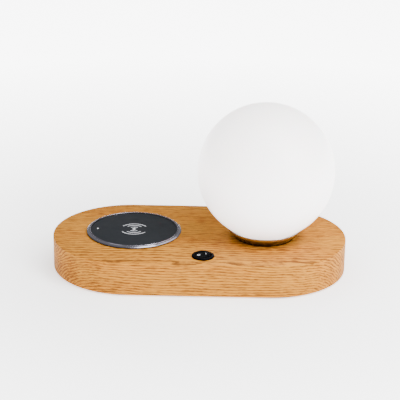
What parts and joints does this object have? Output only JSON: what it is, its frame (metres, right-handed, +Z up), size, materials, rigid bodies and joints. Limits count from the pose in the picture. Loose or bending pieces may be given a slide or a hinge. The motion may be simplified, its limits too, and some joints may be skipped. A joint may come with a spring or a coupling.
{
  "type": "wireless charging pad with globe lamp",
  "caption": "Low wooden base with round ends carrying a round wireless charging pad, a rocker switch and an opal globe lamp that unscrews.",
  "frame": {"origin": "on the table under the centre of the base, at the underside of the feet", "axes": "+X along the base towards the globe, -Y towards the switch, +Z up"},
  "size_m": [0.3, 0.16, 0.1748],
  "materials": {
    "oak": "satin",
    "black_plastic": "fine texture",
    "rocker_plastic": "semi-gloss",
    "slate_disc": "soft touch",
    "bezel_metal": "satin",
    "chrome": "polished",
    "opal_glass": "satin opal",
    "silicone": "matte",
    "white_plastic": "moulded",
    "ceramic": "unglazed",
    "light_pipe": "clear",
    "rubber": "matte",
    "steel": "zinc plated",
    "brass": "turned",
    "copper": "enamelled wire",
    "ferrite": "sintered",
    "board": "solder mask",
    "chip": "moulded",
    "cable": "matte"
  },
  "bodies": {
    "base": {"wood_base": "oak", "bottom_cover": "black_plastic", "cover_screw_1": "steel", "cover_screw_2": "steel", "cover_screw_3": "steel", "cover_screw_4": "steel", "cover_screw_5": "steel", "cover_screw_6": "steel", "foot_1": "rubber", "foot_2": "rubber", "foot_3": "rubber", "foot_4": "rubber", "charger_bezel": "bezel_metal", "charger_top_disc": "slate_disc", "status_light_pipe": "light_pipe", "status_led": "white_plastic", "charge_coil": "copper", "ferrite_disc": "ferrite", "charger_pcb": "board", "charge_controller": "chip", "resonant_capacitor_1": "ceramic", "resonant_capacitor_2": "ceramic", "charger_housing": "black_plastic", "charger_screw_1": "steel", "charger_screw_2": "steel", "charger_screw_3": "steel", "charger_lead": "cable", "lamp_gallery": "chrome", "lampholder": "ceramic", "threaded_nipple": "brass", "nipple_washer": "steel", "nipple_nut": "brass", "lamp_lead": "cable", "switch_housing": "black_plastic", "switch_terminal_common": "brass", "switch_terminal_load": "brass", "switch_lead_1": "cable", "switch_lead_2": "cable", "inlet_jack": "black_plastic", "inlet_pin": "steel", "inlet_nut": "steel", "inlet_lead": "cable", "driver_pcb": "board", "driver_transformer": "ferrite", "driver_capacitor": "chip", "driver_screw_1": "steel", "driver_screw_2": "steel"},
    "rocker": {"rocker": "rocker_plastic", "rocker_plunger": "steel", "plunger_spring": "steel"},
    "contact_lever": {"contact_lever": "copper"},
    "shade_gasket": {"shade_gasket": "silicone"},
    "globe_neck_ring": {"globe_neck_ring": "white_plastic"},
    "globe": {"opal_globe": "opal_glass"},
    "bulb": {"bulb_base": "white_plastic", "bulb_dome": "opal_glass", "bulb_led_core": "white_plastic", "bulb_pin_1": "steel", "bulb_pin_2": "steel"}
  },
  "joints": [
    {"name": "rocker_tilt", "type": "hinge", "parent": "base", "child": "rocker", "pos_m": [0.0045, -0.058, 0.0342], "axis": [0, 1, 0], "range_deg": [0, 24]},
    {"name": "lever_tilt", "type": "hinge", "parent": "base", "child": "contact_lever", "pos_m": [0.0045, -0.058, 0.0255], "axis": [0, 1, 0], "range_deg": [-14.4, 0]},
    {"name": "globe_turn", "type": "hinge", "parent": "base", "child": "shade_gasket", "pos_m": [0.0665, 0, 0.0352], "axis": [0, 0, 1], "range_deg": [0, 540]},
    {"name": "globe_rise", "type": "slide", "parent": "shade_gasket", "child": "globe_neck_ring", "axis": [0, 0, 1], "range_m": [0, 0.0045]},
    {"name": "globe_lift_off", "type": "slide", "parent": "globe_neck_ring", "child": "globe", "axis": [0, 0, 1], "range_m": [0, 0.078]},
    {"name": "bulb_pull", "type": "slide", "parent": "base", "child": "bulb", "axis": [0, 0, 1], "range_m": [0, 0.012]}
  ],
  "couplings": [
    {"joint": "lever_tilt", "follows": "rocker_tilt", "ratio": -0.6},
    {"joint": "globe_rise", "follows": "globe_turn", "m_per_rad": 0.00047746}
  ]
}
